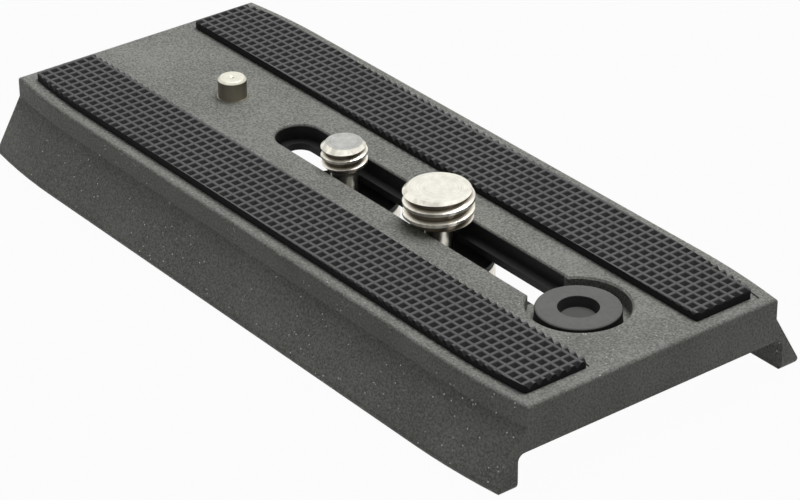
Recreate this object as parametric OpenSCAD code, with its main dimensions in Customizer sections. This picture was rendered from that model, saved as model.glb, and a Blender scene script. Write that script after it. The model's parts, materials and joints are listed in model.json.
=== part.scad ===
// Sliding quick release plate: a cast dovetail plate with two rubber pads, two
// camera screws that slide along a stepped slot, a sprung locating pin and a
// rubber plug in the hole through which the screws are fitted.
// X runs along the plate towards the plug, Y across it, Z up from the feet.

/* [Plate] */
// Length of the plate
plate_len = 112.2; // [105:0.1:130]
// Width of the deck between its upright sides, at mid length
deck_w = 43; // [42:0.1:50]
// Height from the feet to the deck
plate_h = 11.3; // [11:0.1:14]
// Thickness of the deck beside the screw guide
deck_t = 6.3; // [6:0.1:7.5]
// Height of the upright side below the deck
side_h = 3; // [2.5:0.1:4]
// Angle of the dovetail flank from upright
flank_angle = 30; // [25:0.5:32]
// Height at which the flank would be widest, if its edge were sharp
lip_h = 1.05; // [0.9:0.05:1.5]
// Radius of the outer edge of each foot
lip_r = 0.9; // [0.5:0.05:1.2]
// How far the inner wall of each foot lies outside the side of the deck
foot_set = 0.2; // [0:0.1:0.8]
// Fillet between each foot and the underside
channel_r = 1; // [0.5:0.1:1.5]
// Rounding of the long and short edges of the deck
deck_edge_r = 0.5; // [0.3:0.05:0.8]
// Small rounding inside the bottom of each foot
foot_edge_r = 0.4; // [0.2:0.05:0.6]

/* [Lead in at both ends] */
// Length over which the sides curve in
lead_len = 15; // [10:0.5:20]
// How far each side has curved in at the end
lead_in = 1.15; // [0.6:0.05:1.6]
// Rounding of the bottom corner of each foot at its ends
toe_r = 1.2; // [0.8:0.1:2]

/* [Screw slot] */
// Width of the upper, wide part of the slot
slot_w = 6.7; // [6.6:0.1:7.4]
// Depth of the wide part
slot_depth = 2.2; // [1.9:0.1:2.6]
// Width of the narrow part that goes right through
neck_slot_w = 4; // [3.9:0.1:4.6]
// Distance from the pin to the closed end of the wide part
slot_gap = 12.4; // [11.5:0.1:14]
// Width of the guide for the heads under the deck
guide_w = 16; // [15.6:0.1:18]
// Depth of that guide
guide_depth = 3.1; // [2.8:0.1:3.3]
// Play of a head at the closed end of its guide
guide_play = 0.6; // [0.4:0.1:1]
// Bevel round the mouth of the slot and of the hole at its end
mouth_bevel = 0.25; // [0.1:0.05:0.4]

/* [Loading hole and plug] */
// Distance from the plug to the end of the plate
plug_end = 14.4; // [12:0.1:16]
// Diameter of the counterbore around the plug
pocket_d = 13.5; // [13:0.1:14.5]
// Diameter of the plug and of the hole that grips it
plug_d = 11.2; // [10.6:0.1:11.8]
// How much larger the plug is than its hole, before it is pushed in
plug_bite = 0.04; // [0.02:0.01:0.1]
// How far the plug lies below the deck
plug_sink = 0.35; // [0.2:0.05:0.6]
// Diameter of the plug's flange under the deck
plug_flange_d = 14; // [13:0.1:15]
// Thickness of that flange
plug_flange_t = 1; // [0.8:0.1:1.3]
// Diameter of the dimple in the plug
dimple_d = 5.2; // [4:0.1:6]
// Depth of the dimple
dimple_depth = 1.3; // [0.8:0.1:2]
// Rounding of the plug's top edge
plug_edge_r = 0.4; // [0.2:0.05:0.6]

/* [Rubber pads] */
// Thickness of a pad
pad_t = 1.57; // [1.4:0.01:1.8]
// Depth of the seat in which a pad lies
seat_depth = 0.2; // [0.1:0.05:0.4]
// How far the far pad ends short of its seat, beside the plug
seat_spare = 0.9; // [0:0.1:1.2]
// Distance from the middle line to a pad
pad_inner = 8.5; // [8:0.1:9.5]
// Bare strip between a pad and the side of the deck
pad_side_gap = 1.9; // [1.5:0.1:2.5]
// Bare strip between a pad and the end of the deck
pad_end_gap = 2.3; // [2:0.1:4]
// Radius of a pad's corners
pad_corner_r = 0.5; // [0.3:0.1:0.7]
// Pitch of the waffle pattern
waffle_pitch = 1.5; // [1.45:0.01:1.7]
// Width of the ridges between the pits
waffle_ridge = 0.32; // [0.25:0.01:0.4]
// Depth of a pit
waffle_depth = 0.6; // [0.4:0.05:0.8]
// Angle at which the sheet of the near pad was cut
near_skew = 0.7; // [0:0.1:1.5]
// Angle at which the sheet of the far pad was cut
far_skew = 1.15; // [0:0.05:1.5]

/* [Camera screws] */
// Major diameter of the small thread
small_d = 6.35; // [6.3:0.01:6.4]
// Diameter of the flat top of the small thread
small_top_d = 4.96; // [4.6:0.01:5.2]
// How far the small screw stands above the deck
small_top = 3.3; // [3:0.1:4.5]
// How far the full small thread ends above the deck
small_low = 0.3; // [0.2:0.05:0.5]
// Place of the small screw along the slot
small_x = -6.4; // [-7:0.1:-5]
// Major diameter of the large thread
large_d = 9.525; // [9.5:0.005:9.55]
// Diameter of the flat top of the large thread
large_top_d = 8.38; // [8:0.01:8.8]
// How far the large screw stands above the deck
large_top = 4.85; // [4.5:0.05:5.5]
// How far the full large thread ends above the deck
large_low = 0.75; // [0.6:0.05:0.9]
// Place of the large screw along the slot
large_x = 13.9; // [12.5:0.1:15]
// Diameter of both necks
neck_d = 3.7; // [3.4:0.1:3.8]
// Height of the run-out from a thread to its neck
runout_h = 1.5; // [1:0.1:2]
// Diameter of both heads
head_d = 15; // [14:0.1:15.4]
// Height of a head
head_h = 2.9; // [2.5:0.1:3.2]
// Bevel round the bottom of a head
head_bevel = 0.5; // [0.3:0.05:0.8]
// Width of the coin slot
coin_w = 1.8; // [1.5:0.1:2.2]
// Depth of the coin slot
coin_depth = 1.4; // [1:0.1:1.6]
// Thickness of the washers on the heads
washer_t = 0.6; // [0.5:0.05:0.8]
// Play between a washer and its neck
washer_play = 0.3; // [0.2:0.05:0.5]
// How far the washers hang below the ledge while the screws are loose
screw_drop = 1.65; // [0.05:0.05:1.7]

/* [Locating pin] */
// Distance from the pin to the end of the plate
pin_end = 23.8; // [22:0.1:26]
// Diameter of the tip
pin_d = 4.1; // [4:0.05:4.3]
// How far the tip stands above the deck
pin_top = 2.9; // [2.5:0.1:3]
// Height of the bevel at the tip
pin_bevel = 0.3; // [0.2:0.05:0.4]
// Diameter of the dimple in the tip
pin_dimple_d = 0.7; // [0.5:0.1:1]
// How much thicker the guided part of the pin is than its tip
pin_step = 0.2; // [0.18:0.01:0.3]
// Running clearance of the guided part, on the radius
pin_clear = 0.05; // [0.03:0.01:0.08]
// Depth of the pin's shoulder below the deck
pin_shoulder = 2.2; // [2:0.1:2.5]
// Diameter of the pin's flange
pin_flange_d = 6.6; // [6.2:0.1:7]
// Thickness of the flange
pin_flange_t = 1; // [0.8:0.1:1.1]
// Clearance of the flange in its bore, on the radius
flange_clear = 0.15; // [0.1:0.05:0.3]
// Diameter of the spigot that centres the spring
spigot_d = 2.6; // [2.2:0.1:3]
// Length of the spigot
spigot_h = 0.9; // [0.6:0.1:1]
// Wall of the boss around the spring
boss_wall = 1.6; // [1.3:0.1:2.2]
// How far the boss stands below the deck
boss_h = 2.5; // [2.3:0.1:3]
// Thickness of the cap under the spring
cap_t = 1; // [0.8:0.1:1.1]
// How far the cap is pressed in past the end of the boss
cap_sink = 0.2; // [0.1:0.05:0.3]
// How much larger the cap is than its bore, before it is pressed in
cap_bite = 0.02; // [0.01:0.01:0.05]
// Wire of the spring
wire_d = 0.36; // [0.3:0.02:0.4]
// Turns of the spring
wire_turns = 4; // [3:1:4]
// Clearance of the spring in its bore, on the radius
spring_clear = 0.35; // [0.2:0.05:0.5]

/* [Hidden] */

$fn = 64;
cut = 1;
arc_steps = 8;
contact = 0.01;

half_len = plate_len / 2;
half_deck = deck_w / 2;
half_channel = half_deck + foot_set;
lip_y = half_deck + (plate_h - side_h - lip_h) * tan(flank_angle);
under_z = plate_h - deck_t;
ledge_z = plate_h - slot_depth;
guide_z = under_z + guide_depth;
lead_radius = (pow(lead_len, 2) + pow(lead_in, 2)) / (2 * lead_in);
lead_start = half_len - lead_len;

plug_x = half_len - plug_end;
pin_x = pin_end - half_len;
slot_start = pin_x + slot_gap;
wide_x = slot_start + slot_w / 2;
guide_x = wide_x - (head_d + 2 * guide_play - guide_w) / 2;

pin_r = pin_d / 2;
pin_guide_r = pin_r + pin_step;
pin_bore_r = pin_guide_r + pin_clear;
flange_r = pin_flange_d / 2;
spring_bore_r = flange_r + flange_clear;
boss_r = spring_bore_r + boss_wall;
boss_z = under_z - boss_h;
shoulder_z = plate_h - pin_shoulder;
flange_z = shoulder_z - pin_clear - pin_flange_t;
cap_z = boss_z + cap_sink;
spring_r = spring_bore_r - spring_clear - wire_d / 2;

washer_z = guide_z - screw_drop - washer_t;

function arc(cx, cy, r, from, to) =
    [for (i = [0:arc_steps]) let (a = from + (to - from) * i / arc_steps) [cx + r * cos(a), cy + r * sin(a)]];

// How far the side has curved in at a given place along the plate
function lead_at(x) =
    let (d = max(abs(x) - lead_start, 0)) lead_radius - sqrt(pow(lead_radius, 2) - d * d);

// Outer side of the plate from the deck down to the bottom of the foot, as points
// of distance across and height. The flank meets the rounded lip at a tangent.
lip_c = [lip_y + (lip_h - lip_r) * tan(flank_angle) - lip_r / cos(flank_angle), lip_r];
side_points = concat(
    arc(half_deck - deck_edge_r, plate_h - deck_edge_r, deck_edge_r, 90, 0),
    [[half_deck, plate_h - side_h]],
    arc(lip_c[0], lip_c[1], lip_r, flank_angle, -90)
);

// Stretch of the plate along X with a given outer side
module block(from, to, outer) {
    half = concat(
        outer,
        arc(half_channel + foot_edge_r, foot_edge_r, foot_edge_r, -90, -180),
        arc(half_channel - channel_r, under_z - channel_r, channel_r, 0, 90)
    );
    other = [for (i = [len(half) - 1:-1:0]) [-half[i][0], half[i][1]]];
    translate([from, 0, 0])
        rotate([90, 0, 90])
            linear_extrude(to - from)
                polygon(concat(half, other));
}

// Disc whose rim is the side of the plate as it curves in at a corner
module lead_disc() {
    centre_y = half_deck - lead_radius;
    rim = [for (p = side_points) [p[0] - centre_y, p[1]]];
    translate([lead_start, centre_y, 0])
        rotate_extrude($fn = 256)
            polygon(concat([[0, plate_h]], rim, [[0, 0]]));
}

module end_block() {
    upright = [[lip_y + cut, plate_h], [lip_y + cut, 0]];
    intersection() {
        block(lead_start, half_len, upright);
        lead_disc();
        mirror([0, 1, 0])
            lead_disc();
    }
}

// Rounds the short top edge of the deck and the toes of the feet at one end
module end_cutter() {
    translate([half_len - deck_edge_r, 0, plate_h - deck_edge_r])
        difference() {
            translate([0, -lip_y, 0])
                cube([deck_edge_r + cut, 2 * lip_y, deck_edge_r + cut]);
            rotate([90, 0, 0])
                cylinder(r = deck_edge_r, h = 3 * lip_y, center = true);
        }
    translate([half_len - toe_r, 0, toe_r])
        difference() {
            translate([0, -lip_y - cut, -toe_r - cut])
                cube([toe_r + cut, 2 * (lip_y + cut), toe_r + cut]);
            rotate([90, 0, 0])
                cylinder(r = toe_r, h = 3 * lip_y, center = true);
        }
}

// Slot of a given width from the middle of its rounded end to the plug
module slot_shape(width, start) {
    translate([start, -width / 2])
        square([plug_x - start, width]);
    translate([start, 0])
        circle(d = width);
}

module screw_slot() {
    translate([0, 0, ledge_z])
        linear_extrude(slot_depth + cut)
            union() {
                slot_shape(slot_w, wide_x);
                translate([plug_x, 0])
                    circle(d = pocket_d);
            }
    linear_extrude(plate_h)
        union() {
            slot_shape(neck_slot_w, wide_x);
            translate([plug_x, 0])
                circle(d = plug_d);
        }
    translate([0, 0, under_z - cut])
        linear_extrude(guide_depth + cut)
            union() {
                slot_shape(guide_w, guide_x);
                translate([plug_x, 0])
                    circle(d = guide_w);
            }
}

// Bevel round the mouth of the slot and of the hole at its end
module mouth_cut() {
    rise = mouth_bevel + contact;
    side = slot_w / 2;
    translate([0, 0, plate_h - mouth_bevel]) {
        for (hole = [[wide_x, slot_w], [plug_x, pocket_d]])
            translate([hole[0], 0, 0])
                cylinder(d1 = hole[1], d2 = hole[1] + 2 * rise, h = rise);
        translate([wide_x, 0, 0])
            rotate([90, 0, 90])
                linear_extrude(plug_x - wide_x)
                    polygon([[-side, 0], [side, 0], [side + rise, rise], [-side - rise, rise]]);
    }
}

module pin_bore() {
    translate([pin_x, 0, 0]) {
        cylinder(r = pin_bore_r, h = plate_h + cut);
        cylinder(r = spring_bore_r, h = shoulder_z);
    }
}

// Outline of a pad on the +Y side: straight inside, following the deck outside.
// The outline of a seat can run on past the end of its pad beside the plug.
module pad_outline(extra = 0) {
    left = half_len - pad_end_gap - pad_corner_r;
    right = left + extra;
    outer = half_deck - pad_side_gap;
    xs = [for (i = [0:arc_steps]) lead_start + i * lead_len / arc_steps];
    polygon(concat(
        arc(-left, outer - lead_at(left) - pad_corner_r, pad_corner_r, 180, 90),
        [for (i = [arc_steps:-1:0]) if (xs[i] < left) [-xs[i], outer - lead_at(xs[i])]],
        [for (x = xs) if (x < right) [x, outer - lead_at(x)]],
        arc(right, outer - lead_at(right) - pad_corner_r, pad_corner_r, 90, 0),
        arc(right, pad_inner + pad_corner_r, pad_corner_r, 0, -90),
        arc(-left, pad_inner + pad_corner_r, pad_corner_r, -90, -180)
    ));
}

module plate_body() {
    seat_z = plate_h - seat_depth;
    color("#3b3c3c")
        difference() {
            union() {
                block(-lead_start, lead_start, side_points);
                for (mx = [0, 1])
                    mirror([mx, 0, 0])
                        end_block();
                translate([pin_x, 0, boss_z])
                    cylinder(r = boss_r, h = boss_h + contact);
            }
            for (mx = [0, 1])
                mirror([mx, 0, 0])
                    end_cutter();
            translate([0, 0, seat_z])
                linear_extrude(seat_depth + cut)
                    pad_outline(seat_spare);
            translate([0, 0, seat_z])
                linear_extrude(seat_depth + cut)
                    mirror([0, 1])
                        pad_outline();
            screw_slot();
            mouth_cut();
            pin_bore();
        }
}

// Inverted pyramids under the grid of ridges, all in one field
module pit_field(columns, rows) {
    rise = 0.05;
    half = (waffle_pitch - waffle_ridge) / 2;
    top = half * (1 + rise / waffle_depth);
    centres = [
        for (i = [0:columns - 1], j = [0:rows - 1])
            [(i - (columns - 1) / 2) * waffle_pitch, (j - (rows - 1) / 2) * waffle_pitch]
    ];
    points = [
        for (c = centres, p = [[-top, -top, rise], [top, -top, rise], [top, top, rise],
            [-top, top, rise], [0, 0, -waffle_depth]])
            [c[0] + p[0], c[1] + p[1], p[2]]
    ];
    faces = [
        for (k = [0:len(centres) - 1], f = [[3, 2, 1, 0], [0, 1, 4], [1, 2, 4], [2, 3, 4], [3, 0, 4]])
            [for (v = f) 5 * k + v]
    ];
    polyhedron(points, faces);
}

module pad(side, skew) {
    columns = floor((plate_len - 2 * pad_end_gap) / waffle_pitch);
    rows = ceil((half_deck - pad_side_gap - pad_inner) / waffle_pitch);
    middle = (half_deck - pad_side_gap + pad_inner) / 2;
    difference() {
        translate([0, 0, plate_h - seat_depth])
            linear_extrude(pad_t)
                mirror([0, side > 0 ? 0 : 1])
                    pad_outline();
        translate([0, side * middle, plate_h - seat_depth + pad_t])
            rotate(skew)
                pit_field(columns, rows);
    }
}

module near_pad() {
    color("#232323")
        pad(-1, near_skew);
}

module far_pad() {
    color("#232323")
        pad(1, far_skew);
}

// A thread at its major diameter, a run-out to the neck, and a head with a coin slot
module camera_screw(thread_d, top_d, top, low) {
    r = thread_d / 2;
    bevel = (thread_d - top_d) / 2;
    neck_r = neck_d / 2;
    head_z = washer_z - head_h;
    difference() {
        rotate_extrude()
            polygon([
                [0, head_z],
                [head_d / 2 - head_bevel, head_z],
                [head_d / 2, head_z + head_bevel],
                [head_d / 2, washer_z],
                [neck_r, washer_z],
                [neck_r, plate_h + low - runout_h],
                [r, plate_h + low],
                [r, plate_h + top - bevel],
                [r - bevel, plate_h + top],
                [0, plate_h + top]
            ]);
        translate([-head_d / 2 - cut, -coin_w / 2, head_z - cut])
            cube([head_d + 2 * cut, coin_w, coin_depth + cut]);
    }
}

module small_screw() {
    color("#d8d4c6")
        translate([small_x, 0, 0])
            camera_screw(small_d, small_top_d, small_top, small_low);
}

module large_screw() {
    color("#d8d4c6")
        translate([large_x, 0, 0])
            camera_screw(large_d, large_top_d, large_top, large_low);
}

module washer() {
    translate([0, 0, washer_z])
        difference() {
            cylinder(d = head_d, h = washer_t);
            translate([0, 0, -cut])
                cylinder(r = neck_d / 2 + washer_play, h = washer_t + 2 * cut);
        }
}

module small_screw_washer() {
    color("#1c1c1e")
        translate([small_x, 0, 0])
            washer();
}

module large_screw_washer() {
    color("#1c1c1e")
        translate([large_x, 0, 0])
            washer();
}

module end_plug() {
    top_z = plate_h - plug_sink;
    top_r = plug_d / 2 - plug_bite;
    grip_r = plug_d / 2 + plug_bite;
    flange_bottom = guide_z - plug_flange_t;
    color("#3a3b3a")
        translate([plug_x, 0, 0])
            difference() {
                rotate_extrude()
                    polygon(concat(
                        [[0, flange_bottom], [plug_flange_d / 2, flange_bottom]],
                        [[plug_flange_d / 2, guide_z], [grip_r, guide_z]],
                        [[grip_r, ledge_z], [top_r, ledge_z]],
                        arc(top_r - plug_edge_r, top_z - plug_edge_r, plug_edge_r, 0, 90),
                        [[0, top_z]]
                    ));
                translate([0, 0, top_z - dimple_depth])
                    cylinder(d1 = dimple_d - plug_edge_r, d2 = dimple_d, h = dimple_depth + contact);
            }
}

module locating_pin() {
    tip_z = plate_h + pin_top;
    color("#b9b49d")
        translate([pin_x, 0, 0])
            difference() {
                rotate_extrude()
                    polygon([
                        [0, flange_z - spigot_h],
                        [spigot_d / 2, flange_z - spigot_h],
                        [spigot_d / 2, flange_z],
                        [flange_r, flange_z],
                        [flange_r, flange_z + pin_flange_t],
                        [pin_guide_r, flange_z + pin_flange_t],
                        [pin_guide_r, plate_h + pin_clear],
                        [pin_r, plate_h + pin_clear],
                        [pin_r, tip_z - pin_bevel],
                        [pin_r - pin_bevel, tip_z],
                        [0, tip_z]
                    ]);
                translate([0, 0, tip_z - pin_dimple_d / 2])
                    cylinder(d1 = 0, d2 = pin_dimple_d + 2 * contact, h = pin_dimple_d / 2 + contact);
            }
}

// Round wire swept along a helix between the cap and the pin's flange
module pin_spring() {
    sides = 6;
    per_turn = 16;
    low = cap_z + cap_t + wire_d / 2 + contact;
    high = flange_z - wire_d / 2 - contact;
    rings = wire_turns * per_turn;
    points = [
        for (i = [0:rings], s = [0:sides - 1])
            let (
                a = 360 * i / per_turn,
                b = 360 * s / sides,
                r = spring_r + wire_d / 2 * cos(b)
            )
            [r * cos(a), r * sin(a), low + (high - low) * i / rings + wire_d / 2 * sin(b)]
    ];
    walls = [
        for (i = [0:rings - 1], s = [0:sides - 1])
            let (n = (s + 1) % sides)
            [i * sides + s, i * sides + n, (i + 1) * sides + n, (i + 1) * sides + s]
    ];
    ends = [
        [for (s = [sides - 1:-1:0]) s],
        [for (s = [0:sides - 1]) rings * sides + s]
    ];
    color("#a9a9a6")
        translate([pin_x, 0, 0])
            polyhedron(points, concat(walls, ends));
}

module pin_cap() {
    color("#8c8c88")
        translate([pin_x, 0, cap_z])
            cylinder(r = spring_bore_r + cap_bite, h = cap_t);
}

plate_body();
near_pad();
far_pad();
small_screw();
small_screw_washer();
large_screw();
large_screw_washer();
end_plug();
locating_pin();
pin_spring();
pin_cap();
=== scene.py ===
# Looks of a sliding quick release plate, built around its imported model.
# Lengths in the settings are in millimetres and angles in degrees.
import json
import math

import bmesh
import bpy
from mathutils import Matrix, Vector


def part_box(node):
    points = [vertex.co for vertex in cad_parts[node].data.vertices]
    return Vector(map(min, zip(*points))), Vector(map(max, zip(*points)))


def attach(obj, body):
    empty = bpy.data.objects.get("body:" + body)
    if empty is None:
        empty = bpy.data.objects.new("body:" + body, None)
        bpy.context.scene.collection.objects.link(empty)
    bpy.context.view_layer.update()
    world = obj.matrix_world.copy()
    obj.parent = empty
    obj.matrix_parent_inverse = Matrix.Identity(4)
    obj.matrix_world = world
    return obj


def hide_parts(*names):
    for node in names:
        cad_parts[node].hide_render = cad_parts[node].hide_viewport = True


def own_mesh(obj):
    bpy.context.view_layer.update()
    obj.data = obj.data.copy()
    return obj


mm = 0.001
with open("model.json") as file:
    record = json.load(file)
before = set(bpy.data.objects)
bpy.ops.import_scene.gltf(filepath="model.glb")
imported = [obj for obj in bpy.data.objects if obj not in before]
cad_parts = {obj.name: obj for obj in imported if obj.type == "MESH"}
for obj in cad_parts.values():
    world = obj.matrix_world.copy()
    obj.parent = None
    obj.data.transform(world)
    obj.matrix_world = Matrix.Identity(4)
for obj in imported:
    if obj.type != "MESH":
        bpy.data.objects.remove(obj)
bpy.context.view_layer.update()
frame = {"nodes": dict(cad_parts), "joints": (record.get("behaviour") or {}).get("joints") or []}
plateLow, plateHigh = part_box("plate_body")
deckZ = plateHigh.z / mm
print("Frame loaded")


def finishPiece(bm, name, material, sharpAngle=30):
    bmesh.ops.remove_doubles(bm, verts=bm.verts, dist=0.001 * mm)
    bmesh.ops.recalc_face_normals(bm, faces=bm.faces)
    mesh = bpy.data.meshes.new(name)
    bm.to_mesh(mesh)
    bm.free()
    mesh.materials.append(material)
    mesh.shade_smooth()
    mesh.set_sharp_from_angle(angle=math.radians(sharpAngle))
    piece = bpy.data.objects.new(name, mesh)
    bpy.context.scene.collection.objects.link(piece)
    return piece


def openEdges(bm):
    return [edge for edge in bm.edges if edge.is_boundary]


def turnedShape(profile, segments):
    # spins a line of (radius, height) points about the Z axis
    bm = bmesh.new()
    points = [bm.verts.new((radius * mm, 0, height * mm)) for radius, height in profile]
    line = [bm.edges.new(pair) for pair in zip(points, points[1:])]
    bmesh.ops.spin(bm, geom=points + line, axis=(0, 0, 1), cent=(0, 0, 0), angle=2 * math.pi,
                   steps=segments, use_merge=True)
    bmesh.ops.remove_doubles(bm, verts=bm.verts, dist=0.001 * mm)
    return bm


def roundRings(bm, amount, sharper=25, segments=3):
    # rounds the sharp rings of a turned shape
    rings = [edge for edge in bm.edges if len(edge.link_faces) == 2
             and edge.calc_face_angle() > math.radians(sharper)
             and abs(edge.verts[0].co.z - edge.verts[1].co.z) < 1e-7]
    bmesh.ops.bevel(bm, geom=rings, offset=amount * mm, affect="EDGES", segments=segments,
                    profile=0.5, material=-1, offset_type="OFFSET")


def cutWith(piece, tool, operation):
    cut = piece.modifiers.new("cut", "BOOLEAN")
    cut.object = tool
    cut.operation = operation
    cut.solver = "EXACT"
    shaped = piece.evaluated_get(bpy.context.evaluated_depsgraph_get())
    mesh = bpy.data.meshes.new_from_object(shaped)
    piece.modifiers.clear()
    piece.data = mesh
    bpy.data.objects.remove(tool)


def joined(pieces, name, material, sharpAngle=30):
    bm = bmesh.new()
    for piece in pieces:
        bm.from_mesh(piece.data)
        bpy.data.objects.remove(piece)
    return finishPiece(bm, name, material, sharpAngle)


class Wire:
    # a socket of a material, with arithmetic that adds Math nodes
    def __init__(self, tree, socket=None):
        self.tree = tree
        self.socket = socket

    def node(self, kind, settings=None, inputs=None, output=0):
        made = self.tree.nodes.new("ShaderNode" + kind)
        for name, value in (settings or {}).items():
            if name == "stops":
                ramp = made.color_ramp.elements
                while len(ramp) < len(value):
                    ramp.new(0.5)
                for stop, (position, colour) in zip(ramp, value):
                    stop.position = position
                    stop.color = (*colour, 1)
            else:
                setattr(made, name, value)
        for name, value in (inputs or {}).items():
            if isinstance(value, Wire):
                self.tree.links.new(value.socket, made.inputs[name])
            else:
                made.inputs[name].default_value = value
        return Wire(self.tree, made.outputs[output])

    def maths(self, operation, *values, clamp=False):
        return self.node("Math", {"operation": operation, "use_clamp": clamp}, dict(enumerate(values)))

    def __add__(self, other):
        return self.maths("ADD", self, other)

    __radd__ = __add__

    def __sub__(self, other):
        return self.maths("SUBTRACT", self, other)

    def __rsub__(self, other):
        return self.maths("SUBTRACT", other, self)

    def __mul__(self, other):
        return self.maths("MULTIPLY", self, other)

    __rmul__ = __mul__

    def __truediv__(self, other):
        return self.maths("DIVIDE", self, other)

    def step(self, low, high, to=(0.0, 1.0)):
        # runs smoothly between two values as this one goes from low to high
        return self.node("MapRange", {"interpolation_type": "SMOOTHSTEP"},
                         {0: self, 1: low, 2: high, 3: to[0], 4: to[1]})

    def mixed(self, first, second):
        # mixes two colours by this value
        return self.node("Mix", {"data_type": "RGBA"}, {0: self, 6: first, 7: second}, output=2)


def newMaterial(name):
    material = bpy.data.materials.new(name)
    material.use_nodes = True
    tree = material.node_tree
    surface = tree.nodes["Principled BSDF"]
    wire = Wire(tree)
    place = wire.node("TexCoord", output=3)
    return material, surface, wire, place


def plug(surface, wire, **values):
    for name, value in values.items():
        socket = surface.inputs[name.replace("_", " ")]
        if isinstance(value, Wire):
            wire.tree.links.new(value.socket, socket)
        else:
            socket.default_value = value


def rgb(red, green, blue):
    return (red, green, blue, 1)


def along(place, axis):
    # the X, Y or Z place in millimetres
    return place.node("SeparateXYZ", None, {0: place}, output=axis) / mm


def centred(place, x, y):
    return place.node("Mapping", None, {"Vector": place, "Location": (-x * mm, -y * mm, 0)})


def radiusOf(place):
    # distance from the Z axis in millimetres
    x, y = along(place, 0), along(place, 1)
    return place.maths("SQRT", x * x + y * y)


coatLook = {
    "colour": (0.46, 0.465, 0.43), "dark": (0.19, 0.193, 0.178), "fleck": (0.62, 0.61, 0.56),
    "grain": 3300, "fleckSize": 2700, "fleckShare": 0.045, "fleckRadius": 0.36, "roughness": 0.62,
    "bump": 0.11, "gloss": 0.3,
}
# painted shade that makes the slot's walls black: half their width, how far they lie from the cap and from
# the plug, and the lip
slotShadeLook = {
    "colour": (0.005, 0.005, 0.005), "half": 3.45, "fromCap": 5, "fromPlug": 6.6, "lip": 0.3, "soft": 0.1,
}


def paintedSlotShade(place):
    # where shade is painted: the walls and ledge of the slot, from its start to the pocket
    s = slotShadeLook
    plugLow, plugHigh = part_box("end_plug")
    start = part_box("pin_cap")[1].x / mm + s["fromCap"]
    end = (plugLow.x + plugHigh.x) / 2 / mm - s["fromPlug"]
    x, height = along(place, 0), along(place, 2)
    side = place.maths("ABSOLUTE", along(place, 1))
    across = side.step(s["half"] - s["soft"] / 2, s["half"] + s["soft"] / 2, (1, 0))
    length = x.step(start, start + s["soft"]) * x.step(end - s["soft"], end, (1, 0))
    below = height.step(deckZ - s["lip"], deckZ - 0.02, (1, 0))
    return across * length * below


def powderCoat():
    look = coatLook
    material, surface, wire, place = newMaterial("powder coat")
    grain = wire.node("TexNoise", None, {"Vector": place, "Scale": look["grain"], "Detail": 3,
                                         "Roughness": 0.6})
    broad = wire.node("TexNoise", None, {"Vector": place, "Scale": look["grain"] / 30, "Detail": 2})
    cells = wire.node("TexVoronoi", None, {"Vector": place, "Scale": look["fleckSize"]}, output=1)
    luck = wire.node("SeparateColor", None, {0: cells}, output=0)
    near = wire.node("TexVoronoi", None, {"Vector": place, "Scale": look["fleckSize"]}, output=0)
    # painted shade turns the slot's walls and ledge near black and takes the flecks away there
    slotShade = paintedSlotShade(place)
    chosen = luck.step(1 - look["fleckShare"] - 0.01, 1 - look["fleckShare"])
    fleck = chosen * near.step(look["fleckRadius"] - 0.2, look["fleckRadius"], (1, 0)) * (1 - slotShade)
    tone = (grain * 0.8 + broad * 0.2).step(0.34, 0.66)
    body = tone.mixed(rgb(*look["dark"]), rgb(*look["colour"]))
    shown = slotShade.mixed(fleck.mixed(body, rgb(*look["fleck"])), rgb(*slotShadeLook["colour"]))
    plug(surface, wire, Base_Color=shown,
         Metallic=fleck * 0.5,
         Roughness=look["roughness"] - fleck * 0.25,
         Normal=wire.node("Bump", None, {"Strength": 0.7, "Distance": look["bump"] * mm,
                                         "Height": grain + fleck * 0.3}))
    surface.inputs["Specular IOR Level"].default_value = look["gloss"]
    return material


# crest is a painted sheen on the ridge tops, wall the rubber's own colour, side painted shade on the steep
# walls
rubberToneAndPaintedLight = {
    "crest": (0.205, 0.205, 0.205), "wall": (0.04, 0.04, 0.041), "side": (0.004, 0.004, 0.004),
    "roughness": 0.7, "gloss": 0.2,
}


def padRubber(top, pitDepth):
    look = rubberToneAndPaintedLight
    material, surface, wire, place = newMaterial("waffle rubber")
    height = along(place, 2)
    dust = wire.node("TexNoise", None, {"Vector": place, "Scale": 1500, "Detail": 4, "Roughness": 0.65})
    patches = wire.node("TexNoise", None, {"Vector": place, "Scale": 90, "Detail": 2})
    # painted sheen makes the ridge tops lighter, varied by dust noise; painted shade makes steep faces near
    # black
    crest = height.step(top - 0.14, top - 0.02)
    upright = wire.node("SeparateXYZ", None, {0: wire.node("NewGeometry", output=1)}, output=2)
    paintedLightByFacing = upright.step(0.1, 0.3)
    low = paintedLightByFacing.mixed(rgb(*look["side"]), rgb(*look["wall"]))
    colour = (crest * (dust * 0.7 + 0.6) * (patches * 0.5 + 0.75) * paintedLightByFacing).mixed(low, rgb(*look["crest"]))
    plug(surface, wire, Base_Color=colour,
         Roughness=look["roughness"] + dust * 0.15,
         Normal=wire.node("Bump", None, {"Strength": 0.35, "Distance": 0.02 * mm, "Height": dust}))
    surface.inputs["Specular IOR Level"].default_value = look["gloss"]
    return material


def plainRubber(name, colour):
    material, surface, wire, place = newMaterial(name)
    grain = wire.node("TexNoise", None, {"Vector": place, "Scale": 1200, "Detail": 4})
    blooms = wire.node("TexNoise", None, {"Vector": place, "Scale": 220, "Detail": 3})
    tone = (grain * 0.4 + blooms * 0.6).step(0.3, 0.7)
    darker = tuple(0.8 * part for part in colour)
    plug(surface, wire, Base_Color=tone.mixed(rgb(*darker), rgb(*colour)),
         Roughness=0.55 + grain * 0.12,
         Normal=wire.node("Bump", None, {"Strength": 0.3, "Distance": 0.015 * mm, "Height": grain}))
    return material


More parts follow.
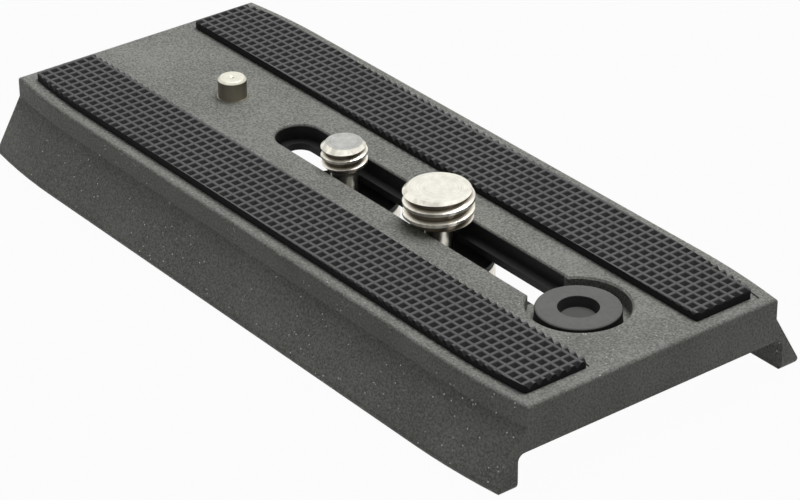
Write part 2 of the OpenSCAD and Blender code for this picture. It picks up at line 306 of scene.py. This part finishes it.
def turnedMetal(name, centreX, look, crestRadius, threadBottom, topZ):
    # lathe rings round the piece's own axis, with painted shade in the roots of the thread that turns
    # lighter up the flanks
    material, surface, wire, place = newMaterial(name)
    local = centred(place, centreX, 0)
    radius, height = radiusOf(local), along(place, 2)
    wobble = wire.node("TexNoise", None, {"Vector": local, "Scale": 500, "Detail": 2})
    rings = wire.node("TexNoise", {"noise_dimensions": "1D"}, {"W": radius * 5.5 + wobble * 0.2,
                                                              "Scale": 1.6, "Detail": 5, "Roughness": 0.7})
    stretched = local.node("Mapping", None, {"Vector": local, "Scale": (1, 1, 0.25)})
    streak = wire.node("TexNoise", None, {"Vector": stretched, "Scale": 900, "Detail": 3})
    face = height.step(topZ - 0.03, topZ - 0.01)
    tip = height.step(look["tipBottom"] - 0.05, look["tipBottom"] + 0.05)
    crest = radius.step(crestRadius - 0.16, crestRadius - 0.05)
    outsideThreadShade = wire.maths("MAXIMUM", wire.maths("MAXIMUM", crest, tip),
                       height.step(threadBottom - 0.3, threadBottom, (1, 0)))
    # lathe rings and streaks on the faces, their contrast raised as painted reflection
    bright = (rings * 0.65 + streak * 0.35).step(0.3, 0.7)
    faceTone = bright.mixed(rgb(*look["faceDark"]), rgb(*look["face"]))
    sideTone = streak.step(0.35, 0.65).mixed(rgb(*look["sideDark"]), rgb(*look["side"]))
    depth = radius.step(look["rootRadius"], crestRadius - 0.1)
    threadShade = (depth * (streak * 0.8 + 0.5)).mixed(rgb(*look["rootShade"]), rgb(*look["flank"]))
    tone = face.mixed(outsideThreadShade.mixed(threadShade, sideTone), faceTone)
    if look["dimple"]:
        # painted shade at the bottom of the punched dimple
        dimpleShadeMask = radius.step(look["dimple"], look["dimple"] + 0.04, (1, 0)) * (1 - face)
        tone = (dimpleShadeMask * height.step(topZ - 1, topZ - 0.9)).mixed(tone, rgb(*look["rootShade"]))
    plug(surface, wire, Base_Color=tone, Metallic=1.0,
         Roughness=look["roughness"] + rings * 0.16,
         Normal=wire.node("Bump", None, {"Strength": 0.35, "Distance": 0.02 * mm, "Height": rings}))
    return material


def plainMetal(name, colour, roughness):
    material, surface, wire, place = newMaterial(name)
    drawn = wire.node("TexNoise", None, {"Vector": place, "Scale": 900, "Detail": 4})
    darker = tuple(0.7 * part for part in colour)
    plug(surface, wire, Base_Color=drawn.mixed(rgb(*darker), rgb(*colour)), Metallic=1.0,
         Roughness=roughness + drawn * 0.2,
         Normal=wire.node("Bump", None, {"Strength": 0.2, "Distance": 0.01 * mm, "Height": drawn}))
    return material


padSettings = {
    "pitch": 1.5, "ridge": 0.3, "pitDepth": 0.62, "pitFloor": 0.12, "ridgeRound": 0.05,
    "leadLength": 15, "leadIn": 1.15, "leadSteps": 8, "corner": 0.5, "cornerSteps": 4, "top": 12.4,
    # a crossing of two ridges, how far the cut is turned, and the edges nearer and farther from the slot
    "near": {"crossing": (0.44, -13.44), "turn": 0.65, "inner": -9.0, "outer": -19.6},
    "far": {"crossing": (0.14, 13.83), "turn": 1.17, "inner": 8.5, "outer": 18.95},
}
padLook = padRubber(padSettings["top"], padSettings["pitDepth"])


def keepInside(bm, point, normal):
    geom = bm.verts[:] + bm.edges[:] + bm.faces[:]
    bmesh.ops.bisect_plane(bm, geom=geom, dist=1e-8, plane_co=(point[0] * mm, point[1] * mm, 0),
                           plane_no=(normal[0], normal[1], 0), clear_outer=True)


def wafflePad(name, node, side, own):
    s = padSettings
    low, high = (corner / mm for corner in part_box(node))
    inner, outer = own["inner"], own["outer"]
    columns = 2 * math.ceil((high.x + 2) / s["pitch"])
    rows = 2 * math.ceil((abs(outer - inner) / 2 + 2.5) / s["pitch"])
    bm = bmesh.new()
    crossX, crossY = own["crossing"]
    spread = (Matrix.Translation((crossX * mm, crossY * mm, s["top"] * mm))
              @ Matrix.Rotation(math.radians(own["turn"]), 4, "Z")
              @ Matrix.Diagonal((columns * s["pitch"] * mm / 2, rows * s["pitch"] * mm / 2, 1, 1)))
    bmesh.ops.create_grid(bm, x_segments=columns, y_segments=rows, size=1, matrix=spread)
    cells = bm.faces[:]
    bmesh.ops.inset_individual(bm, faces=cells, thickness=s["ridge"] / 2 * mm, use_even_offset=True)
    rims = [edge for cell in cells for edge in cell.edges]
    pitWidth = s["pitch"] - s["ridge"]
    bmesh.ops.inset_individual(bm, faces=cells, thickness=(pitWidth - s["pitFloor"]) / 2 * mm,
                               depth=-s["pitDepth"] * mm, use_even_offset=True)
    bmesh.ops.bevel(bm, geom=rims, offset=s["ridgeRound"] * mm, affect="EDGES", segments=2,
                    profile=0.5, material=-1, offset_type="OFFSET")
    halfLength = high.x
    keepInside(bm, (0, inner), (0, -side))
    for end in (-1, 1):
        keepInside(bm, (end * halfLength, 0), (end, 0))
    keepInside(bm, (0, outer), (0, side))
    radius = (s["leadLength"] ** 2 + s["leadIn"] ** 2) / (2 * s["leadIn"])
    leadStart = plateHigh.x / mm - s["leadLength"]
    lead = halfLength - leadStart
    for end in (-1, 1):
        for k in range(1, s["leadSteps"] + 1):
            along = lead * k / s["leadSteps"]
            tilt = math.asin(along / radius)
            drop = radius * (1 - math.cos(tilt))
            keepInside(bm, (end * (leadStart + along), outer - side * drop),
                       (end * math.sin(tilt), side * math.cos(tilt)))
    cornerY = outer - side * radius * (1 - math.cos(math.asin(lead / radius)))
    for end in (-1, 1):
        for edgeY, facing in ((inner, -side), (cornerY, side)):
            centre = (end * (halfLength - s["corner"]), edgeY - facing * s["corner"])
            for k in range(1, s["cornerSteps"]):
                angle = math.pi / 2 * k / s["cornerSteps"]
                normal = (end * math.cos(angle), facing * math.sin(angle))
                point = (centre[0] + normal[0] * s["corner"], centre[1] + normal[1] * s["corner"])
                keepInside(bm, point, normal)
    wall = bmesh.ops.extrude_edge_only(bm, edges=openEdges(bm))["geom"]
    for vert in [item for item in wall if isinstance(item, bmesh.types.BMVert)]:
        vert.co.z = low.z * mm
    bmesh.ops.remove_doubles(bm, verts=bm.verts, dist=0.0005 * mm)
    bmesh.ops.holes_fill(bm, edges=openEdges(bm), sides=0)
    pad = finishPiece(bm, name, padLook, sharpAngle=25)
    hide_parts(node)
    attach(pad, "plate")
    return pad


nearPad = wafflePad("nearPad", "near_pad", -1, padSettings["near"])
farPad = wafflePad("farPad", "far_pad", 1, padSettings["far"])
print("Pads made", len(nearPad.data.polygons), len(farPad.data.polygons))

# the face tones are painted light: the same nickel is painted darker on the small screw's face than on the
# large one's
screwSettings = {
    "small": {"major": 6.35, "pitch": 1.27, "topWidth": 4.96, "low": 0.3, "crest": 1.58,
              "face": (0.6, 0.6, 0.575), "faceDark": (0.3, 0.3, 0.28)},
    "large": {"major": 9.525, "pitch": 1.5875, "topWidth": 8.38, "low": 0.75, "crest": 1.56,
              "face": (0.93, 0.91, 0.82), "faceDark": (0.62, 0.6, 0.52)},
    "threadDepth": 0.4, "crestFlat": 0.26, "runOut": 1.5, "neck": 3.7, "headBevel": 0.5,
    "coinWidth": 1.8, "coinDepth": 1.4, "facing": -37, "turnSteps": 96,
}
nickelLook = {
    "side": (0.95, 0.92, 0.82), "sideDark": (0.62, 0.59, 0.52), "flank": (0.95, 0.9, 0.8),
    "rootShade": (0.2, 0.17, 0.13), "dimple": 0, "roughness": 0.22,
}


def threadedShank(own, low, top):
    s = screwSettings
    pitch = own["pitch"]
    crestRadius = own["major"] / 2
    rootRadius = crestRadius - s["threadDepth"] * pitch
    flank = s["threadDepth"] * pitch * math.tan(math.radians(30))
    half = s["crestFlat"] * pitch / 2
    start = low - 1.5 * pitch
    # a crest faces the camera at the height seen in the photo
    turned = s["facing"] / 360 * pitch
    start += (deckZ + own["crest"] - turned - start) % pitch
    steps = [-pitch / 2, -half - flank, -half, half, half + flank, pitch / 2]
    radii = [rootRadius, rootRadius, crestRadius, crestRadius, rootRadius, rootRadius]
    bm = bmesh.new()
    points = [bm.verts.new((r * mm, 0, (start + z) * mm)) for r, z in zip(radii, steps)]
    line = [bm.edges.new(pair) for pair in zip(points, points[1:])]
    turns = math.ceil((top - low) / pitch) + 3
    bmesh.ops.spin(bm, geom=points + line, axis=(0, 0, 1), cent=(0, 0, 0), angle=2 * math.pi * turns,
                   steps=s["turnSteps"] * turns, dvec=(0, 0, pitch / s["turnSteps"] * mm))
    bmesh.ops.remove_doubles(bm, verts=bm.verts, dist=0.002 * mm)
    for height, way in ((low - 0.3, -1), (top + 0.3, 1)):
        geom = bm.verts[:] + bm.edges[:] + bm.faces[:]
        bmesh.ops.bisect_plane(bm, geom=geom, dist=1e-8, plane_co=(0, 0, height * mm),
                               plane_no=(0, 0, way), clear_outer=True)
    bmesh.ops.holes_fill(bm, edges=openEdges(bm), sides=0)
    return bm


def cameraScrew(name, node, own, body):
    s = screwSettings
    low, high = (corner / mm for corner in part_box(node))
    centreX = (low.x + high.x) / 2
    headRadius = (high.x - low.x) / 2
    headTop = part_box(node + "_washer")[0].z / mm
    crestRadius = own["major"] / 2
    neckRadius = s["neck"] / 2
    fullLow = deckZ + own["low"]
    bevel = (own["major"] - own["topWidth"]) / 2
    runOutLow = fullLow - s["runOut"]
    look = {**nickelLook, "face": own["face"], "faceDark": own["faceDark"],
            "rootRadius": crestRadius - s["threadDepth"] * own["pitch"], "tipBottom": high.z - bevel - 0.05}
    nickel = turnedMetal(name + " nickel", centreX, look, crestRadius, fullLow - 0.4, high.z)
    shank = finishPiece(threadedShank(own, runOutLow, high.z), name + "Shank", nickel)
    room = 0.01
    limits = [(0, runOutLow), (neckRadius, runOutLow), (crestRadius + room, fullLow),
              (crestRadius + room, high.z - bevel), (crestRadius - bevel, high.z), (0, high.z)]
    cutWith(shank, finishPiece(turnedShape(limits, 128), name + "Limits", nickel), "INTERSECT")
    profile = [(0, low.z), (headRadius, low.z), (headRadius, headTop), (neckRadius, headTop),
               (neckRadius, runOutLow + 0.3), (0, runOutLow + 0.3)]
    bm = turnedShape(profile, 96)
    roundRings(bm, s["headBevel"] * 0.5)
    head = finishPiece(bm, name + "Head", nickel)
    bm = bmesh.new()
    bmesh.ops.create_cube(bm, size=1, matrix=Matrix.Translation((0, 0, low.z * mm)) @ Matrix.Diagonal(
        (headRadius * 3 * mm, s["coinWidth"] * mm, 2 * s["coinDepth"] * mm, 1)))
    cutWith(head, finishPiece(bm, name + "Coin", nickel), "DIFFERENCE")
    screw = joined([shank, head], name, nickel)
    screw.data.transform(Matrix.Translation((centreX * mm, 0, 0)))
    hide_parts(node)
    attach(screw, body)
    return screw


smallScrew = cameraScrew("smallScrew", "small_screw", screwSettings["small"], "small_screw_body")
largeScrew = cameraScrew("largeScrew", "large_screw", screwSettings["large"], "large_screw_body")
print("Screws made", len(smallScrew.data.polygons), len(largeScrew.data.polygons))

# floor is painted shade on the dimple's floor, wall painted shade on the dimple's walls and the plug's side
plugSettings = {
    "width": 11.12, "grip": 11.28, "ledge": 9.1, "flangeTop": 8.1, "dimple": 5.4, "dimpleFloor": 4.5,
    "dimpleDepth": 1.35, "edge": 0.35, "colour": (0.25, 0.25, 0.24), "floor": (0.14, 0.14, 0.135),
    "wall": (0.008, 0.008, 0.008),
}


def plugRubber(centreX, top):
    s = plugSettings
    material, surface, wire, place = newMaterial("plug rubber")
    radius, height = radiusOf(centred(place, centreX, 0)), along(place, 2)
    grain = wire.node("TexNoise", None, {"Vector": place, "Scale": 1200, "Detail": 4})
    blooms = wire.node("TexNoise", None, {"Vector": place, "Scale": 220, "Detail": 3})
    tone = (grain * 0.5 + blooms * 0.5).step(0.3, 0.7)
    face = tone.mixed(rgb(*[0.82 * part for part in s["colour"]]), rgb(*s["colour"]))
    # painted shade: a darker dimple floor, near black dimple walls, and a near black side below the rounded
    # edge
    floor = radius.step(s["dimpleFloor"] / 2 - 0.02, s["dimpleFloor"] / 2 + 0.02, (1, 0))
    inside = height.step(top - 0.12, top - 0.03, (1, 0))
    plugDimpleShade = inside * radius.step(s["dimple"] / 2 + 0.02, s["dimple"] / 2 + 0.06, (1, 0))
    withDimpleShade = plugDimpleShade.mixed(face, floor.mixed(rgb(*s["wall"]), rgb(*s["floor"])))
    sideWallShade = inside * radius.step(s["width"] / 2 - 0.12, s["width"] / 2 - 0.02)
    plug(surface, wire, Base_Color=sideWallShade.mixed(withDimpleShade, rgb(*s["wall"])),
         Roughness=0.62 + grain * 0.12,
         Normal=wire.node("Bump", None, {"Strength": 0.3, "Distance": 0.015 * mm, "Height": grain}))
    surface.inputs["Specular IOR Level"].default_value = 0.25
    return material


def rubberPlug():
    s = plugSettings
    low, high = (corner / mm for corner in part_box("end_plug"))
    centreX = (low.x + high.x) / 2
    profile = [(0, low.z), ((high.x - low.x) / 2, low.z), ((high.x - low.x) / 2, s["flangeTop"]),
               (s["grip"] / 2, s["flangeTop"]), (s["grip"] / 2, s["ledge"]), (s["width"] / 2, s["ledge"]),
               (s["width"] / 2, high.z), (s["dimple"] / 2, high.z),
               (s["dimpleFloor"] / 2, high.z - s["dimpleDepth"]), (0, high.z - s["dimpleDepth"])]
    bm = turnedShape(profile, 128)
    # only the outer edge of the top is round
    outerRings = [edge for edge in bm.edges if edge.verts[0].co.z > (s["ledge"] + 0.5) * mm
                  and edge.verts[0].co.xy.length > s["dimple"] * mm and len(edge.link_faces) == 2
                  and edge.calc_face_angle() > math.radians(30)]
    bmesh.ops.bevel(bm, geom=outerRings, offset=s["edge"] * mm, affect="EDGES", segments=5,
                    profile=0.5, material=-1, offset_type="OFFSET")
    rubber = plugRubber(centreX, high.z)
    piece = finishPiece(bm, "endPlug", rubber, sharpAngle=40)
    piece.data.transform(Matrix.Translation((centreX * mm, 0, 0)))
    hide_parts("end_plug")
    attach(piece, "plate")


rubberPlug()
print("Plug made")

pinSettings = {
    "tip": 4.1, "guide": 4.5, "bevel": 0.32, "dimple": 0.75, "flangeTop": 9.05, "flangeBottom": 8.05,
    "spigot": 2.6, "guideTop": 0.05, "edge": 0.02,
}
pinLook = {
    "face": (0.84, 0.82, 0.7), "faceDark": (0.66, 0.64, 0.54), "side": (0.8, 0.78, 0.66),
    "sideDark": (0.6, 0.58, 0.48), "flank": (0.5, 0.46, 0.36), "rootShade": (0.07, 0.065, 0.05),
    "dimple": 0.2, "roughness": 0.24,
}


def locatingPin():
    s = pinSettings
    low, high = (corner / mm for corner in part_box("locating_pin"))
    centreX = (low.x + high.x) / 2
    tip = s["tip"] / 2
    profile = [(0, low.z), (s["spigot"] / 2, low.z), (s["spigot"] / 2, s["flangeBottom"]),
               ((high.x - low.x) / 2, s["flangeBottom"]), ((high.x - low.x) / 2, s["flangeTop"]),
               (s["guide"] / 2, s["flangeTop"]), (s["guide"] / 2, deckZ + s["guideTop"]),
               (tip, deckZ + s["guideTop"]), (tip, high.z - s["bevel"]), (tip - s["bevel"], high.z),
               (s["dimple"] / 2, high.z), (0, high.z - s["dimple"] / 2)]
    bm = turnedShape(profile, 96)
    roundRings(bm, s["edge"], segments=2)
    look = {**pinLook, "rootRadius": tip - 0.6, "tipBottom": high.z - s["bevel"]}
    steel = turnedMetal("pin steel", centreX, look, tip + 1, low.z, high.z)
    piece = finishPiece(bm, "locatingPin", steel)
    piece.data.transform(Matrix.Translation((centreX * mm, 0, 0)))
    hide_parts("locating_pin")
    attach(piece, "pin_body")


springSettings = {"wire": 0.36, "turns": 4, "sides": 12, "steps": 40, "colour": (0.55, 0.55, 0.53)}


def pinSpring():
    s = springSettings
    low, high = (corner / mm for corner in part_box("pin_spring"))
    centreX = (low.x + high.x) / 2
    wire = s["wire"] / 2
    coil = (high.x - low.x) / 2 - wire
    bm = bmesh.new()
    bmesh.ops.create_circle(bm, cap_ends=True, segments=s["sides"], radius=wire * mm,
                            matrix=Matrix.Translation((coil * mm, 0, (low.z + wire) * mm))
                            @ Matrix.Rotation(math.pi / 2, 4, "X"))
    rise = (high.z - low.z - 2 * wire) / (s["turns"] * s["steps"])
    bmesh.ops.spin(bm, geom=bm.verts[:] + bm.edges[:] + bm.faces[:], axis=(0, 0, 1), cent=(0, 0, 0),
                   angle=2 * math.pi * s["turns"], steps=s["turns"] * s["steps"], dvec=(0, 0, rise * mm))
    piece = finishPiece(bm, "pinSpring", plainMetal("spring wire", s["colour"], 0.25), sharpAngle=50)
    piece.data.transform(Matrix.Translation((centreX * mm, 0, 0)))
    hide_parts("pin_spring")
    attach(piece, "plate")
    press = next(joint for joint in frame["joints"] if joint["name"] == "pin_press")
    travel = -press["range_m"][0]
    fixedEnd = press["deforming_nodes"][0]["fixed_end_z_m"]
    room = high.z * mm - fixedEnd
    (room - travel) / room
    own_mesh(piece)


locatingPin()
pinSpring()
print("Pin and spring made")

# finishes of the pieces that stay as packed
keptLooks = {
    "plate_body": powderCoat(),
    "small_screw_washer": plainRubber("black nylon", (0.02, 0.02, 0.022)),
    "pin_cap": plainMetal("pressed steel", (0.42, 0.42, 0.41), 0.35),
}
keptLooks["large_screw_washer"] = keptLooks["small_screw_washer"]
for node, material in keptLooks.items():
    slots = frame["nodes"][node].material_slots
    for materialSlot in slots:
        materialSlot.material = material
print("Finishes set")

stageSettings = {
    "floorSize": 3, "floorColour": (0.36, 0.36, 0.36), "floorWhite": 0.965,
    "worldFill": 0.05, "key": {"place": (-0.08, 0.34, 0.94), "size": 0.6, "power": 5.8},
    "front": {"place": (0.75, -0.75, 0.5), "size": 0.7, "power": 0.1},
}


def makeFloor():
    s = stageSettings
    bm = bmesh.new()
    bmesh.ops.create_grid(bm, x_segments=2, y_segments=2, size=s["floorSize"] / 2)
    material = bpy.data.materials.new("white table")
    material.use_nodes = True
    tree = material.node_tree
    tree.nodes["Principled BSDF"].inputs["Base Color"].default_value = rgb(*s["floorColour"])
    tree.nodes["Principled BSDF"].inputs["Roughness"].default_value = 0.9
    tree.nodes["Principled BSDF"].inputs["Specular IOR Level"].default_value = 0.1
    wire = Wire(tree)
    matt = Wire(tree, tree.nodes["Principled BSDF"].outputs[0])
    seen = (wire.node("LightPath", output=0) + wire.node("LightPath", output=3)
            + wire.node("LightPath", output=6))
    glow = wire.node("Emission", None, {"Strength": 1.0})
    share = wire.maths("MINIMUM", seen, 1.0) * s["floorWhite"]
    shown = wire.node("MixShader", None, {0: share, 1: matt, 2: glow})
    tree.links.new(shown.socket, tree.nodes["Material Output"].inputs["Surface"])
    floor = finishPiece(bm, "floor", material)


def makeWorld():
    world = bpy.data.worlds.new("studio")
    bpy.context.scene.world = world
    world.use_nodes = True
    wire = Wire(world.node_tree)
    rays = (wire.node("LightPath", output=0) + wire.node("LightPath", output=3)
            + wire.node("LightPath", output=6))
    seen = wire.maths("MINIMUM", rays, 1.0)
    fill = stageSettings["worldFill"]
    background = world.node_tree.nodes["Background"]
    background.inputs["Color"].default_value = (1, 1, 1, 1)
    wire.tree.links.new((seen * (1 - fill) + fill).socket, background.inputs["Strength"])


def makeLamp(name, settings):
    lamp = bpy.data.lights.new(name, "AREA")
    lamp.shape = "SQUARE"
    lamp.size = settings["size"]
    lamp.energy = settings["power"]
    holder = bpy.data.objects.new(name, lamp)
    holder.location = settings["place"]
    holder.rotation_euler = (-Vector(settings["place"])).to_track_quat("-Z", "Y").to_euler()
    bpy.context.scene.collection.objects.link(holder)


cameraSettings = {
    "place": (297.69, -227.49, 211.59), "aim": (17.08, -8.89, 11.3), "roll": -0.308, "lens": 143.46,
}


def makeCamera():
    s = cameraSettings
    camera = bpy.data.cameras.new("camera")
    camera.lens = s["lens"]
    camera.sensor_width = 36
    camera.clip_start = 0.01
    holder = bpy.data.objects.new("camera", camera)
    place, aim = Vector(s["place"]) * mm, Vector(s["aim"]) * mm
    turn = (aim - place).to_track_quat("-Z", "Y").to_matrix().to_4x4()
    holder.matrix_world = Matrix.Translation(place) @ turn @ Matrix.Rotation(math.radians(s["roll"]), 4, "Z")
    bpy.context.scene.collection.objects.link(holder)
    bpy.context.scene.camera = holder


makeFloor()
makeWorld()
makeLamp("key", stageSettings["key"])
makeLamp("front", stageSettings["front"])
makeCamera()
bpy.context.scene.view_settings.view_transform = "Standard"
print("Stage set")
